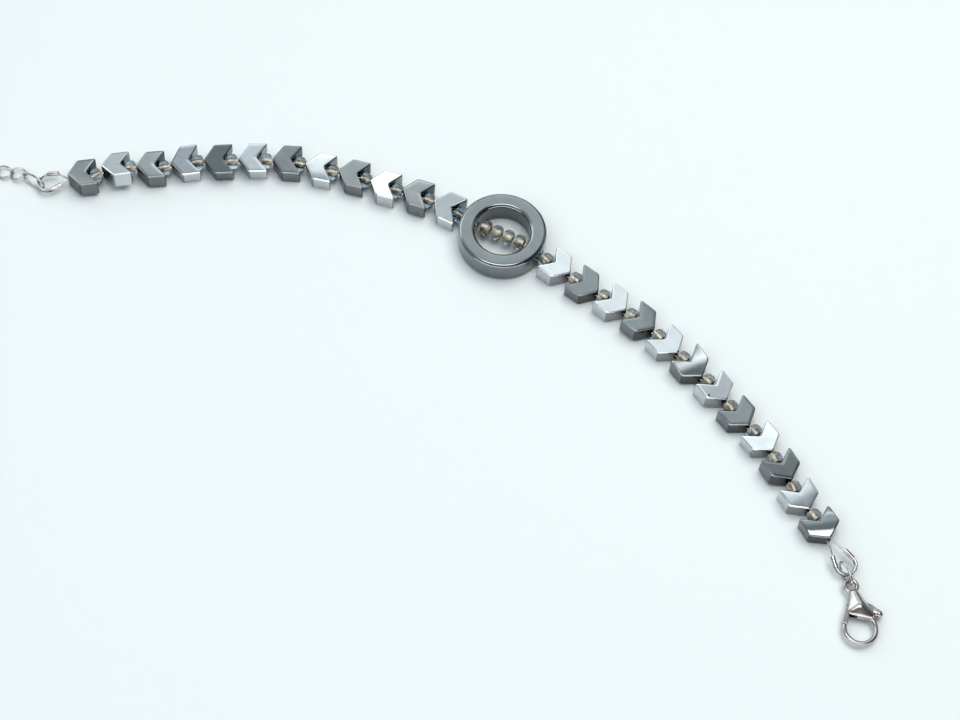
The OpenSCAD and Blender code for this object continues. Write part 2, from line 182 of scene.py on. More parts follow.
def hematite(name, colour, roughness, pits):
    """Polished hematite: a metallic grey with clouds, fine scratches, a hardly wavy polish, pits painted
    dark as the shade in their hollows, and the painted wall shade that each face stores.
    """
    stone, shader, place = new_finish(name, 1)
    tree = stone.node_tree
    shades = [(at, [share * part for part in colour] + [1]) for at, share in CLOUD_TONES]
    tone = tones(tree, mottle(tree, place, *CLOUDS), shades)
    # Each pit is painted dark: painted shade in its hollow
    for middle, size in pits:
        away = tree.nodes.new("ShaderNodeVectorMath")
        away.operation = "DISTANCE"
        away.inputs[1].default_value = middle
        tree.links.new(place, away.inputs[0])
        pit = tree.nodes.new("ShaderNodeMix")
        pit.data_type = "RGBA"
        pit.inputs[SECOND].default_value = PIT_SHADE
        deep = spread(tree, away.outputs["Value"], 1, 0, PIT_FLOOR * size, size)
        tree.links.new(deep, pit.inputs["Factor"])
        tree.links.new(tone, pit.inputs[FIRST])
        tone = pit.outputs[MIXED]
    # The colour is darkened by the painted wall shade that each face stores
    wall_shade = tree.nodes.new("ShaderNodeAttribute")
    wall_shade.attribute_name = "paint_wall_shade"
    tree.links.new(multiplied(tree, tone, wall_shade.outputs["Color"]), shader.inputs["Base Color"])
    smoothest, roughest = [share * roughness for share in SCRATCH_SPREAD]
    scratched = spread(tree, mottle(tree, place, *SCRATCHES), smoothest, roughest)
    tree.links.new(scratched, shader.inputs["Roughness"])
    ripple(tree, shader, mottle(tree, place, *WAVES), WAVES_DEEP)
    return stone


def put_down():
    """Leaves nothing selected."""
    bpy.ops.object.select_all(action="DESELECT")


def take(*pieces):
    """Selects these pieces alone, and makes the first the active one."""
    put_down()
    for piece in pieces:
        piece.select_set(True)
    bpy.context.view_layer.objects.active = pieces[0]


def pick(piece, kind, test):
    """In edit mode, selects the vertices, edges or faces of the piece for which test says yes."""
    bpy.ops.object.mode_set(mode="EDIT")
    bpy.ops.mesh.select_mode(type=kind)
    bpy.ops.mesh.select_all(action="DESELECT")
    bpy.ops.object.mode_set(mode="OBJECT")
    items = {"VERT": piece.data.vertices, "EDGE": piece.data.edges, "FACE": piece.data.polygons}[kind]
    for item in items:
        item.select = test(item)
    bpy.ops.object.mode_set(mode="EDIT")


def soften(piece, kind, test, size, segments):
    """Chamfers or rounds the corners or edges of the piece for which test says yes."""
    pick(piece, kind, test)
    affect = {"VERT": "VERTICES", "EDGE": "EDGES"}[kind]
    bpy.ops.mesh.bevel(offset=size, offset_type="OFFSET", segments=segments, profile=0.5, affect=affect)


def lathe(steps, axis):
    """In edit mode, spins the outline of the drawn section once round the axis and closes the seam."""
    bpy.ops.mesh.select_all(action="SELECT")
    bpy.ops.mesh.delete(type="ONLY_FACE")
    bpy.ops.mesh.select_all(action="SELECT")
    bpy.ops.mesh.spin(steps=steps, angle=2 * pi, center=(0, 0, 0), axis=axis)
    bpy.ops.mesh.select_all(action="SELECT")
    bpy.ops.mesh.remove_doubles(threshold=MERGE)
    bpy.ops.mesh.normals_make_consistent(inside=False)
    bpy.ops.object.mode_set(mode="OBJECT")


def apply(piece, kind, **settings):
    """Adds a modifier to the piece and applies it."""
    bpy.context.view_layer.objects.active = piece
    bpy.ops.object.modifier_add(type=kind)
    modifier = piece.modifiers[-1]
    for key, value in settings.items():
        setattr(modifier, key, value)
    bpy.ops.object.modifier_apply(modifier=modifier.name)


def cut(piece, cutter, solver):
    """Cuts a closed shape out of the piece and throws the cutter away."""
    apply(piece, "BOOLEAN", object=cutter, operation="DIFFERENCE", solver=solver)
    bpy.data.objects.remove(cutter)


def drill(piece, radius, length, sides, place, solver="EXACT"):
    """Drills a round hole with a drill that stands upright until place lays it where it goes."""
    put_down()
    bpy.ops.mesh.primitive_cylinder_add(vertices=sides, radius=radius, depth=length)
    cutter = bpy.context.object
    cutter.data.transform(place)
    cut(piece, cutter, solver)


def paint_wall_shade(piece, level):
    """Paints shade onto the walls of a ground piece: stores how much of each face's colour is kept, for
    the stone's finish to read.
    """
    layer = piece.data.color_attributes.new("paint_wall_shade", "FLOAT_COLOR", "CORNER")
    for face in piece.data.polygons:
        bright = level(face)
        for corner in face.loop_indices:
            layer.data[corner].color = (bright ** SHADE_RED, bright, bright ** SHADE_BLUE, 1)


def smooth(piece, angle, flatten):
    """Shades soft edges smooth up to an angle, and keeps the large faces flat beside them."""
    take(piece)
    bpy.ops.object.shade_smooth_by_angle(angle=angle)
    apply(piece, "WEIGHTED_NORMAL", keep_sharp=True, weight=flatten)


def finish_piece(piece, name, material, body, slot, *nodes):
    """Names the piece, gives it its finish and lets it ride on a body in place of its CAD nodes."""
    piece.name = name
    piece.data.name = name
    piece.data.materials.clear()
    piece.data.materials.append(material)
    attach(piece, body)
    if nodes:
        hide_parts(*nodes)


def on_wall(vertex):
    """Whether a corner of the ring's section lies on its outer wall or on the wall of its hole."""
    return abs(vertex.co.x - BAND_MIDDLE) > BAND_HALF - 0.1 * RING_CHAMFER


def ring_wall_shade(face):
    """Painted shade: the walls are darker than the flat faces, and the wall of the hole is the darkest.
    """
    if abs(face.normal.z) > WALL_RISE:
        return 1
    return RIM_SHADE if (face.center - RING_CENTRE).length > BAND_MIDDLE else HOLE_SHADE


dark_hematite = hematite("dark hematite", DARK_HEMATITE, DARK_POLISH, [RING_PIT])

put_down()
bpy.ops.mesh.primitive_plane_add(size=1)
ring = bpy.context.object
for vertex in ring.data.vertices:
    across = RING_OUTER if vertex.co.x > 0 else RING_INNER
    vertex.co = (across, 0, RING_HEIGHT / 2 if vertex.co.y > 0 else -RING_HEIGHT / 2)
soften(ring, "VERT", lambda v: True, RING_CHAMFER, segments=1)
bpy.ops.object.mode_set(mode="OBJECT")
for vertex in ring.data.vertices:
    if on_wall(vertex):
        vertex.co.z *= (RING_HEIGHT / 2 - RING_CHAMFER_DEEP) / (RING_HEIGHT / 2 - RING_CHAMFER)
soften(ring, "VERT", lambda v: not on_wall(v), RING_SOFT, segments=4)
soften(ring, "VERT", on_wall, RING_SOFT_SIDE, segments=6)
lathe(RING_STEPS, (0, 0, 1))
ring.data.transform(Matrix.Translation((RING_CENTRE.x, RING_CENTRE.y, RING_HEIGHT / 2)))

wire_way = Vector((cos(RING_TURN), sin(RING_TURN), 0))
wire_side = Vector((-wire_way.y, wire_way.x, 0))
wire_middle = RING_CENTRE + RING_ASIDE * wire_side
across_ring = Matrix.Translation(wire_middle) @ Matrix.Rotation(RING_TURN, 4, "Z")
lying = Matrix.Rotation(pi / 2, 4, "Y")
drill(ring, radius=DRILL / 2, length=3 * RING_OUTER, sides=32, place=across_ring @ lying)
# Painted shade on the ring's outer wall and on the wall of its hole
paint_wall_shade(ring, ring_wall_shade)
smooth(ring, RING_SMOOTH, RING_FLATTEN)
finish_piece(ring, "hematite_ring", dark_hematite, "bracelet", "dark_hematite", "ring")


# Chevron beads
# Cut from the same stone, half of them plated silver. Each lies on one long lower edge, and its polished
# top leans and bulges a little in its own way, so each one mirrors another part of the room.
# Height, half the width, how far the front sweeps back, the ends of the arms, and the notch's depth
CHEVRON_HEIGHT = 3 * MM
CHEVRON_HALF = 3 * MM
CHEVRON_SWEEP = 2 * MM
CHEVRON_ARM = 3.6 * MM
CHEVRON_NOTCH = 3.45 * MM
# Rounding of the arms' back corners, the other upright corners and the rims, and where the rub ends
CHEVRON_TIP = 0.62 * MM
CHEVRON_CORNER = 0.36 * MM
CHEVRON_RIM = 0.22 * MM
CHEVRON_RUB = 0.5 * MM
# Lines that the top is split along so that it can bend: how deep inside its sides in mm, and a grid
CHEVRON_ROWS = (0.27, 0.35, 0.43, 0.5, 0.57)
CHEVRON_GRID = 0.3 * MM
CHEVRON_SMOOTH = radians(38)
CHEVRON_FLATTEN = 60
# Painted shade on the ends of the arms and on the faces that meet the next bead: how much of their colour
# is kept beside the top
CHEVRON_WALL_SHADE = {"silver_hematite": (0.86, 0.4), "dark_hematite": (0.7, 0.3)}
# A face whose normal points aside more than this is the end of an arm
END_ASIDE = 0.95
SILVER = (0.675, 0.705, 0.735)
SILVER_POLISH = 0.05
# Where the few pits of the silver beads lie, and their sizes
SILVER_PITS = [
    (Vector((57.67, -0.41, 3.37)) * MM, 0.24 * MM),
    (Vector((65.29, -9.85, 1.36)) * MM, 0.28 * MM),
]
# Start angle, distance to the first bead, spacing, bend per bead and bend per bead past the ninth
STRANDS = {"left": (156, 14.1, 6.15, 4.6, 1), "right": (-28.5, 14.5, 6.1, -2.8, -2.8)}
BENDS_TO_NINTH = 8
# Drift, yaw and roll of each bead, as the solids lie
LIES = {
    "left": [
        (-0.2, 2, -1), (0.2, 6, 3), (0.5, 4, -1), (0, 1, 1), (-0.1, -1, -2), (-0.3, 4, -1),
        (-0.1, 4, -7), (0.2, 2, -10), (0, 2, -4), (0.1, -2, 3), (-0.2, 0, 14), (0.3, -1, 6),
    ],
    "right": [
        (-0.1, -6, 3), (-0.1, -2, 0), (0, -3, 2), (0.4, 1, 5), (-0.1, -7, 1), (-0.3, -7, 2),
        (-0.2, -6, 4), (-0.1, -1, 0), (0.3, 0, -1), (-0.2, -2, 5), (-0.5, -2, 1), (0.1, 2, -2),
    ],
}
# Polish of each top: its lean backwards in degrees, its bulge on the near and on the far half, the bulge
# towards the notch and the twist in degrees for each mm, and how far its rim is rubbed down in mm
TOPS = {
    "left": [
        (-3.5, 0, 0, 0, 0, 0), (0, 0, 0, 0, 0, 0.01), (4.5, 0, 0, 0, 0, 0),
        (1.5, 0, 0, 0, 0, 0), (3.5, 1.5, 0.4, 0, 0, 0.006), (-2.2, 0, 0, 0, 0, 0.01),
        (2.9, 0, 0, 0, 0, 0.015), (3.6, 0, 0, 0, 0, 0.006), (-3, 0, 0, 0, 0, 0.02),
        (0.65, 0, 0, 0, 0, 0.01), (0, 0, 0, 0, 0, 0), (0, 0, 0, 0, 0, 0.01),
    ],
    "right": [
        (0, 0, 0, 0, 0, 0), (0, 0, 0, 0, 0, 0.01), (0, 0, 0, 0, 0, 0),
        (-2.2, 0, 0, 0, 0, 0.01), (0, 0, 0, 0, 0, 0), (-9.8, -0.3, -0.4, -1, 0, 0),
        (0, 0, 0, 0, 0, 0.01), (0.3, 0, 0, 0, 0, 0.02), (6.4, 0, 0, 0, 0, 0),
        (-1, 0, 0, 0, 0, 0.035), (-1.6, 0.4, 0, 0.55, 0, 0.015), (-4.6, 2.6, 0.6, 0, 2.1, 0.01),
    ],
}


def heading(angle):
    """The direction over the table at an angle in degrees."""
    return Vector((cos(radians(angle)), sin(radians(angle)), 0))


def strand(side):
    """Gives each bead's point on its hole, its turn and its roll in degrees, outwards from the ring."""
    start, first, pitch, bend, end_bend = STRANDS[side]
    line = Vector((RING_CENTRE.x, RING_CENTRE.y, 0))
    found = []
    for count, (drift, yaw, roll) in enumerate(LIES[side]):
        way = start + bend * min(count, BENDS_TO_NINTH) + end_bend * max(count - BENDS_TO_NINTH, 0)
        line = line + (first if count == 0 else pitch) * MM * heading(way)
        tip = roll if side == "left" else -roll
        high = CHEVRON_HEIGHT / 2 * cos(radians(tip)) + CHEVRON_HALF * abs(sin(radians(tip)))
        found.append((line + drift * MM * heading(way + 90) + Vector((0, 0, high)), way + yaw, tip))
    return found


def upright(edge):
    """Whether an edge of the bead goes from its underside to its top."""
    a, b = (chevron.data.vertices[index].co for index in edge.vertices)
    return abs(a.z - b.z) > CHEVRON_HEIGHT / 2


def at_tip(edge):
    """Whether an edge is the upright one at the back corner of an arm."""
    spot = chevron.data.vertices[edge.vertices[0]].co
    return upright(edge) and spot.x < -CHEVRON_SWEEP - CHEVRON_ARM / 2 and abs(spot.y) > CHEVRON_HALF / 2


def on_top(face):
    """Whether a face belongs to the flat top."""
    return face.normal.z > 0.999 and face.center.z > 0


def inside(spot):
    """How far a spot lies inside the nearest side of the chevron."""
    aside = Vector((spot.x, abs(spot.y), 0))
    return min(reach - aside.dot(out) for out, reach in OUTLINE)


def split_top(place, way):
    """Cuts a line across the flat top, so that it can bend there."""
    pick(chevron, "FACE", on_top)
    bpy.ops.mesh.bisect(plane_co=place, plane_no=way)


def copy_of(master):
    """Copies a piece, with a mesh of its own."""
    copy = master.copy()
    copy.data = master.data.copy()
    bpy.context.collection.objects.link(copy)
    return copy


def chevron_wall_shade(face, end, joint):
    """Painted shade: the ends of the arms are darker than the top, and the faces that meet the next bead
    much darker.
    """
    if abs(face.normal.z) > WALL_RISE:
        return 1
    return end if abs(face.normal.y) > END_ASIDE else joint


def polish_top(bead, point, turn, lean, near, far, hollow, twist, rubbed):
    """Leans, bulges and twists the top of a bead that lies at its place, and rubs its rim down."""
    middle = point - CHEVRON_NOTCH / 2 * heading(turn)
    for vertex, flat in zip(bead.data.vertices, chevron.data.vertices):
        high = min(max(flat.co.z / (CHEVRON_HEIGHT / 2), 0), 1)
        behind = (vertex.co.y - middle.y) / MM
        along = (middle - vertex.co).dot(heading(turn)) / MM
        drop = lean * behind + (far if behind > 0 else near) * behind * behind + twist * along * behind
        drop += hollow * max(along, 0) ** 2
        kept = min(max((inside(flat.co) - CHEVRON_RIM) / (CHEVRON_RUB - CHEVRON_RIM), 0), 1)
        vertex.co.z += high * (rubbed * kept - radians(drop)) * MM


silver_hematite = hematite("silver hematite", SILVER, SILVER_POLISH, SILVER_PITS)

put_down()
bpy.ops.mesh.primitive_circle_add(vertices=6, radius=CHEVRON_HALF, fill_type="NGON")
chevron = bpy.context.object
arm_back = -CHEVRON_SWEEP - CHEVRON_ARM
plan = [
    (0, 0), (-CHEVRON_SWEEP, CHEVRON_HALF), (arm_back, CHEVRON_HALF),
    (-CHEVRON_NOTCH, 0), (arm_back, -CHEVRON_HALF), (-CHEVRON_SWEEP, -CHEVRON_HALF),
]
for vertex, (x, y) in zip(chevron.data.vertices, plan):
    vertex.co = (x, y, -CHEVRON_HEIGHT / 2)
pick(chevron, "FACE", lambda f: True)
bpy.ops.mesh.extrude_region_move(TRANSFORM_OT_translate={"value": (0, 0, CHEVRON_HEIGHT)})
bpy.ops.mesh.select_all(action="SELECT")
bpy.ops.mesh.normals_make_consistent(inside=False)
soften(chevron, "EDGE", at_tip, CHEVRON_TIP, segments=6)
soften(chevron, "EDGE", lambda e: upright(e) and not at_tip(e), CHEVRON_CORNER, segments=5)
soften(chevron, "EDGE", lambda e: not upright(e), CHEVRON_RIM, segments=6)

# Outward directions of the far arm's end, front and notch side, and how far out from the point each lies
ARM_END = Vector((0, 1, 0))
ARM_FRONT = Vector((CHEVRON_HALF, CHEVRON_SWEEP, 0)).normalized()
ARM_NOTCH = Vector((-CHEVRON_HALF, CHEVRON_NOTCH + arm_back, 0)).normalized()
OUTLINE = [(ARM_END, CHEVRON_HALF), (ARM_FRONT, 0), (ARM_NOTCH, -CHEVRON_NOTCH * ARM_NOTCH.x)]
for out, reach in OUTLINE:
    for mirror in (1, -1):
        toward = Vector((out.x, mirror * out.y, 0))
        for deep in CHEVRON_ROWS:
            split_top((reach - deep * MM) * toward, toward)
for step in range(1, int(-arm_back / CHEVRON_GRID) + 1):
    split_top((-CHEVRON_GRID * step, 0, 0), (1, 0, 0))
half_rows = round(CHEVRON_HALF / CHEVRON_GRID)
for step in range(1 - half_rows, half_rows):
    split_top((0, CHEVRON_GRID * step, 0), (0, 1, 0))
bpy.ops.object.mode_set(mode="OBJECT")
drill(chevron, radius=DRILL / 2, length=4 * CHEVRON_HALF, sides=24, place=lying)

STONES = {"silver_hematite": silver_hematite, "dark_hematite": dark_hematite}
for side in ("left", "right"):
    for count, (point, turn, tip) in enumerate(strand(side)):
        stone = "silver_hematite" if count % 2 == 0 else "dark_hematite"
        bead = copy_of(chevron)
        # Painted shade on the arm ends and on the faces that meet the next bead
        paint_wall_shade(bead, lambda face: chevron_wall_shade(face, *CHEVRON_WALL_SHADE[stone]))
        rolled = Matrix.Rotation(radians(tip), 4, "X")
        bead.data.transform(Matrix.Translation(point) @ Matrix.Rotation(radians(turn), 4, "Z") @ rolled)
        polish_top(bead, point, turn, *TOPS[side][count])
        smooth(bead, CHEVRON_SMOOTH, CHEVRON_FLATTEN)
        name = f"{side}_{count + 1}"
        finish_piece(bead, f"chevron_bead_{name}", STONES[stone], "bracelet", stone, f"chevron_{name}")
bpy.data.objects.remove(chevron)


# Small glass beads
# Round beads of clear grey-blue glass, cut from a drawn tube and fire-polished round. The hole is lined
# with a warm silver film, which the glass magnifies until it fills most of the bead.
SEED_RADIUS = 1.4 * MM
SEED_LENGTH = 1.85 * MM
SEED_ROUND = 0.72 * MM
SEED_STEPS = 32
SEED_SMOOTH = radians(50)
# How much of the wall's thickness is rounded off at the mouths of the hole
MOUTH_ROUND = 0.15
LININGS = {"left": 0.5 * MM, "ring": 0.76 * MM, "right": 0.66 * MM}
LINING_THICK = 0.08 * MM
LINING_ROUND = 0.01 * MM
LINING_SHORT = 0.1 * MM
SEED_PITCH = 2.2 * MM
# A bead's distance from the notch that it sits in, how much it follows the chevron's own direction and
# not the wire's, and the room that it leaves before the next chevron
SEED_SEAT = 1.72 * MM
SEED_SWING = 0.95
SEED_GAP = 0.2 * MM
# Places of the beads inside the ring, in beads from its middle
RING_SEEDS = (-1.5, -0.5, 0.5, 1.5)
GLASS = (0.62, 0.8, 0.96, 1)
GLASS_BENDS_LIGHT = 1.46
GLASS_ROUGH = 0.02
GLASS_SWIRLS = (900, 1)
GLASS_SWIRLS_DEEP = 0.004 * MM
FILM_TONES = [(0.35, (0.46, 0.31, 0.22, 1)), (0.6, (0.98, 0.74, 0.54, 1))]
FILM_SPECKS = (1500, 3)
FILM_ROUGH = 0.42

glass, shader, place = new_finish("grey-blue glass", 0)
shader.inputs["Base Color"].default_value = GLASS
shader.inputs["Transmission Weight"].default_value = 1
shader.inputs["Roughness"].default_value = GLASS_ROUGH
shader.inputs["IOR"].default_value = GLASS_BENDS_LIGHT
ripple(glass.node_tree, shader, mottle(glass.node_tree, place, *GLASS_SWIRLS), GLASS_SWIRLS_DEEP)

film, shader, place = new_finish("champagne film", 1)
shader.inputs["Roughness"].default_value = FILM_ROUGH
specks = tones(film.node_tree, mottle(film.node_tree, place, *FILM_SPECKS), FILM_TONES)
film.node_tree.links.new(specks, shader.inputs["Base Color"])


def spun_tube(inner, outer, length, rounding, segments):
    """A round tube about the x axis: its long section is drawn, rounded at the corners and spun."""
    put_down()
    bpy.ops.mesh.primitive_plane_add(size=1)
    tube = bpy.context.object
    for vertex in tube.data.vertices:
        end = length / 2 if vertex.co.x > 0 else -length / 2
        vertex.co = (end, 0, outer if vertex.co.y > 0 else inner)
    soften(tube, "VERT", lambda v: v.co.z > (inner + outer) / 2, rounding, segments)
    mouth = MOUTH_ROUND * (outer - inner)
    soften(tube, "VERT", lambda v: v.co.z < inner + LINING_ROUND, mouth, segments=2)
    lathe(SEED_STEPS, (1, 0, 0))
    bpy.ops.object.shade_smooth_by_angle(angle=SEED_SMOOTH)
    return tube


def joined(pieces):
    """Joins pieces into the first of them, with its place in its mesh."""
    take(*pieces)
    bpy.ops.object.join()
    bpy.ops.object.transform_apply(location=True, rotation=True, scale=True)
    return pieces[0]


def threaded(master, places, name, material, slot, *nodes):
    """Threads a copy of the master bead at each place, all as one piece, and throws the master away."""
    copies = []
    for middle, way in places:
        copy = copy_of(master)
        turn = Vector((1, 0, 0)).rotation_difference(way).to_matrix().to_4x4()
        copy.data.transform(Matrix.Translation(middle) @ turn)
        copies.append(copy)
    finish_piece(joined(copies), name, material, "bracelet", slot, *nodes)
    bpy.data.objects.remove(master)


def seed_places(side):
    """Each small bead sits in its chevron's notch, along the wire to the bead before."""
    found = []
    before = wire_middle + (-RING_OUTER if side == "left" else RING_OUTER) * wire_way
    for point, turn, tip in strand(side):
        notch = point - CHEVRON_NOTCH * heading(turn)
        way = before - notch
        spare = max(way.length - SEED_SEAT - SEED_LENGTH / 2 - SEED_GAP, 0)
        pull = SEED_SWING * -heading(turn) + (1 - SEED_SWING) * way.normalized()
        found.append((notch + (SEED_SEAT + spare / 2) * pull.normalized(), way.normalized()))
        before = point
    return found


ring_seeds = [(wire_middle + step * SEED_PITCH * wire_way, wire_way) for step in RING_SEEDS]
groups = {"left": seed_places("left"), "ring": ring_seeds, "right": seed_places("right")}
for group, places in groups.items():
    lined = LININGS[group]
    glass_bead = spun_tube(lined - LINING_THICK / 2, SEED_RADIUS, SEED_LENGTH, SEED_ROUND, segments=8)
    lining = spun_tube(lined - LINING_THICK, lined, SEED_LENGTH - LINING_SHORT, LINING_ROUND, segments=1)
    threaded(glass_bead, places, f"glass_beads_{group}", glass, "lined_glass", f"spacers_{group}")
    threaded(lining, places, f"bead_linings_{group}", film, "lined_glass")


# Beading wire
# One fine plated cable, doubled through every hole. It only shows between the end beads and the wire
# guards, where it runs bright and taut, and inside the guards' open channels.
PLATE_TONES = [(0.3, (0.34, 0.33, 0.32, 1)), (0.62, (0.62, 0.61, 0.6, 1))]
PLATE_TARNISH = (1100, 4)
PLATE_ROUGH = (0.1, 0.3)
CABLE_SWELL = 0.02 * MM
WIRE_MERGE = 0.002 * MM
WIRE_SMOOTH = radians(40)
# How much two triangles of a bent wire may lean from each other to be one face again
WIRE_JOIN = radians(60)


def worn_metal(name, shades, tarnish, roughness):
    """Bright metal with a cloudy tarnish: lighter spots are rougher."""
    metal, shader, place = new_finish(name, 1)
    tree = metal.node_tree
    clouds = mottle(tree, place, *tarnish)
    tree.links.new(tones(tree, clouds, shades), shader.inputs["Base Color"])
    tree.links.new(spread(tree, clouds, *roughness), shader.inputs["Roughness"])
    return metal


def rounded_copy(node, swell, levels, join):
    """Copies a solid's mesh, merges its triangles, swells it a little and rounds it with subdivision."""
    copy = copy_of(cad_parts[node])
    copy.parent = None
    for key in list(copy.keys()):
        del copy[key]
    take(copy)
    bpy.ops.object.mode_set(mode="EDIT")
    bpy.ops.mesh.select_all(action="SELECT")
    bpy.ops.mesh.remove_doubles(threshold=WIRE_MERGE)
    bpy.ops.mesh.tris_convert_to_quads(face_threshold=join, shape_threshold=join)
    bpy.ops.transform.shrink_fatten(value=swell)
    bpy.ops.object.mode_set(mode="OBJECT")
    if levels:
        apply(copy, "SUBSURF", levels=levels, render_levels=levels)
    bpy.ops.object.shade_smooth_by_angle(angle=WIRE_SMOOTH)
    return copy


plate = worn_metal("bright plate", PLATE_TONES, PLATE_TARNISH, PLATE_ROUGH)
wire = rounded_copy("beading_wire", CABLE_SWELL, levels=1, join=WIRE_JOIN)
finish_piece(wire, "beading_cable", plate, "bracelet", "silver_plate", "beading_wire")


# Wire guards
# A little horseshoe of thin plated metal at each end: two short tubes that the cable runs through, and an
# open channel round the bend that keeps the connecting link from sawing at it.
GUARD_JOIN = radians(20)

for side in ("left", "right"):
    guard = rounded_copy(f"wire_guard_{side}", swell=0, levels=0, join=GUARD_JOIN)
    finish_piece(guard, f"guard_{side}", plate, "bracelet", "silver_plate", f"wire_guard_{side}")


# Connecting links and extension chain
# Closed ovals of round plated wire. The connecting links stand on edge through the guards' bends, and the
# chain's links are twisted, so that each lies flat between its neighbours.
LINK_SWELL = 0.022 * MM
CHAIN_LINKS = 8

chain = [f"chain_link_{count + 1}" for count in range(CHAIN_LINKS)]
for node in ["connector_left", "connector_right"] + chain:
    link = rounded_copy(node, LINK_SWELL, levels=2, join=WIRE_JOIN)
    finish_piece(link, f"{node}_wire", plate, "bracelet", "silver_plate", node)


# Lobster clasp
# Cast steel, tumbled bright: an eye, a domed body and a round hook in one. A slot goes through the body
# from side to side. The lever turns in it on a pin, with its gate against the hook and a thumb paddle.
CLASP_AT = Vector((82.714, -32.881, 1.18)) * MM
CLASP_TURN = radians(-80.7)
EYE_RADIUS = 1.05 * MM
EYE_BAR = 0.74 * MM
HOOK_AT = Vector((7.65, 0.3, 0)) * MM
HOOK_RADIUS = 2.64 * MM
HOOK_BAR = 0.83 * MM
HOOK_FROM = radians(-112)
HOOK_TO = radians(150)
HOOK_STEPS = 72
# The balls that the body is drawn over: place and radius in mm from the eye, along the clasp and aside
DOME = [((1.2, 0.2, 0), 0.85), ((4.5, -0.6, 0), 1.1), ((5.35, 2.15, 0), 1.05), ((4, 0.7, 0.22), 1.4)]
PIVOT = Vector((2.7, 0.25, 0)) * MM
PIN_HOLE = 0.42 * MM
PIN_HOLE_END = 0.9 * MM
LEVER_SHRINK = -0.03 * MM
LEVER_PLAY = 0.09 * MM
# How far the lever opens, and the steps in which its slot is cut, in degrees
LEVER_OPEN = 25
LEVER_STEP = 5
PADDLE_AT = Vector((4.95, 3.4, 0)) * MM
PADDLE = (1.25 * MM, 0.74 * MM, 0.55 * MM)
PADDLE_TURN = radians(52)
CLASP_JOIN = radians(5)
STEEL_TONES = [(0.3, (0.4, 0.375, 0.37, 1)), (0.7, (0.54, 0.51, 0.505, 1))]
STEEL_TARNISH = (700, 4)
STEEL_ROUGH = (0.12, 0.28)
# How fine the skin of each casting and of the slot's cutter is, and how many rounds it is tumbled
LEVER_SKIN = (0.05 * MM, 10)
DOME_SKIN = (0.1 * MM, 60)
BODY_SKIN = (0.07 * MM, 6)
SLOTTED_SKIN = (0.05 * MM, 4)
SLOT_SKIN = (0.08 * MM, 0)


def tumbled(piece, grain, rounds):
    """Casts the shapes of a piece as one closed skin, and tumbles its corners soft."""
    apply(piece, "REMESH", mode="VOXEL", voxel_size=grain, adaptivity=0)
    if rounds:
        apply(piece, "SMOOTH", factor=0.5, iterations=rounds)


in_clasp = Matrix.Translation(CLASP_AT) @ Matrix.Rotation(CLASP_TURN, 4, "Z")
steel = worn_metal("polished steel", STEEL_TONES, STEEL_TARNISH, STEEL_ROUGH)

lever = rounded_copy("clasp_lever", LEVER_SHRINK, levels=0, join=CLASP_JOIN)
put_down()
bpy.ops.mesh.primitive_uv_sphere_add(segments=40, ring_count=20, radius=1)
paddle = bpy.context.object
on_lever = in_clasp @ Matrix.Translation(PADDLE_AT) @ Matrix.Rotation(PADDLE_TURN, 4, "Z")
paddle.data.transform(on_lever @ Matrix.Diagonal((*PADDLE, 1)))
lever = joined([lever, paddle])
tumbled(lever, *LEVER_SKIN)

balls = []
for place, radius in DOME:
    put_down()
    spot = Vector(place) * MM
    bpy.ops.mesh.primitive_uv_sphere_add(segments=32, ring_count=16, radius=radius * MM, location=spot)
    balls.append(bpy.context.object)
body = joined(balls)
bpy.ops.object.mode_set(mode="EDIT")
bpy.ops.mesh.select_all(action="SELECT")
bpy.ops.mesh.convex_hull()
bpy.ops.object.mode_set(mode="OBJECT")
tumbled(body, *DOME_SKIN)
drill(body, radius=EYE_RADIUS, length=4 * EYE_RADIUS, sides=32, place=Matrix(), solver="MANIFOLD")

put_down()
bpy.ops.mesh.primitive_torus_add(
    major_radius=EYE_RADIUS, minor_radius=EYE_BAR / 2, major_segments=64, minor_segments=24
)
loop = bpy.context.object

put_down()
bpy.ops.mesh.primitive_circle_add(vertices=24, radius=HOOK_BAR / 2, fill_type="NGON")
hook = bpy.context.object
hook.data.transform(
    Matrix.Translation(HOOK_AT) @ Matrix.Rotation(HOOK_TO, 4, "Z")
    @ Matrix.Translation((HOOK_RADIUS, 0, 0)) @ Matrix.Rotation(pi / 2, 4, "X")
)
pick(hook, "FACE", lambda f: True)
bpy.ops.mesh.spin(steps=HOOK_STEPS, angle=HOOK_TO - HOOK_FROM, center=HOOK_AT, axis=(0, 0, 1))
bpy.ops.mesh.select_all(action="SELECT")
bpy.ops.mesh.normals_make_consistent(inside=False)
bpy.ops.object.mode_set(mode="OBJECT")

body = joined([body, loop, hook])
tumbled(body, *BODY_SKIN)
pin_hole = Matrix.Translation(PIVOT - Vector((0, 0, PIN_HOLE_END)))
drill(body, radius=PIN_HOLE, length=4 * PIN_HOLE_END, sides=24, place=pin_hole, solver="MANIFOLD")
body.data.transform(in_clasp)

# The slot is what the finished lever sweeps as it opens, with a little play all round
hinge = in_clasp @ PIVOT
swept = []
for opened in range(0, LEVER_OPEN + 1, LEVER_STEP):
    copy = copy_of(lever)
    turned = Matrix.Translation(hinge) @ Matrix.Rotation(radians(opened), 4, "Z")
    copy.data.transform(turned @ Matrix.Translation(-hinge))
    swept.append(copy)
slot = joined(swept)
pick(slot, "VERT", lambda v: True)
bpy.ops.transform.shrink_fatten(value=LEVER_PLAY)
bpy.ops.object.mode_set(mode="OBJECT")
tumbled(slot, *SLOT_SKIN)
cut(body, slot, "MANIFOLD")
tumbled(body, *SLOTTED_SKIN)
take(body)
bpy.ops.object.shade_smooth()
finish_piece(body, "clasp_body_steel", steel, "bracelet", "clasp_steel", "clasp_body")

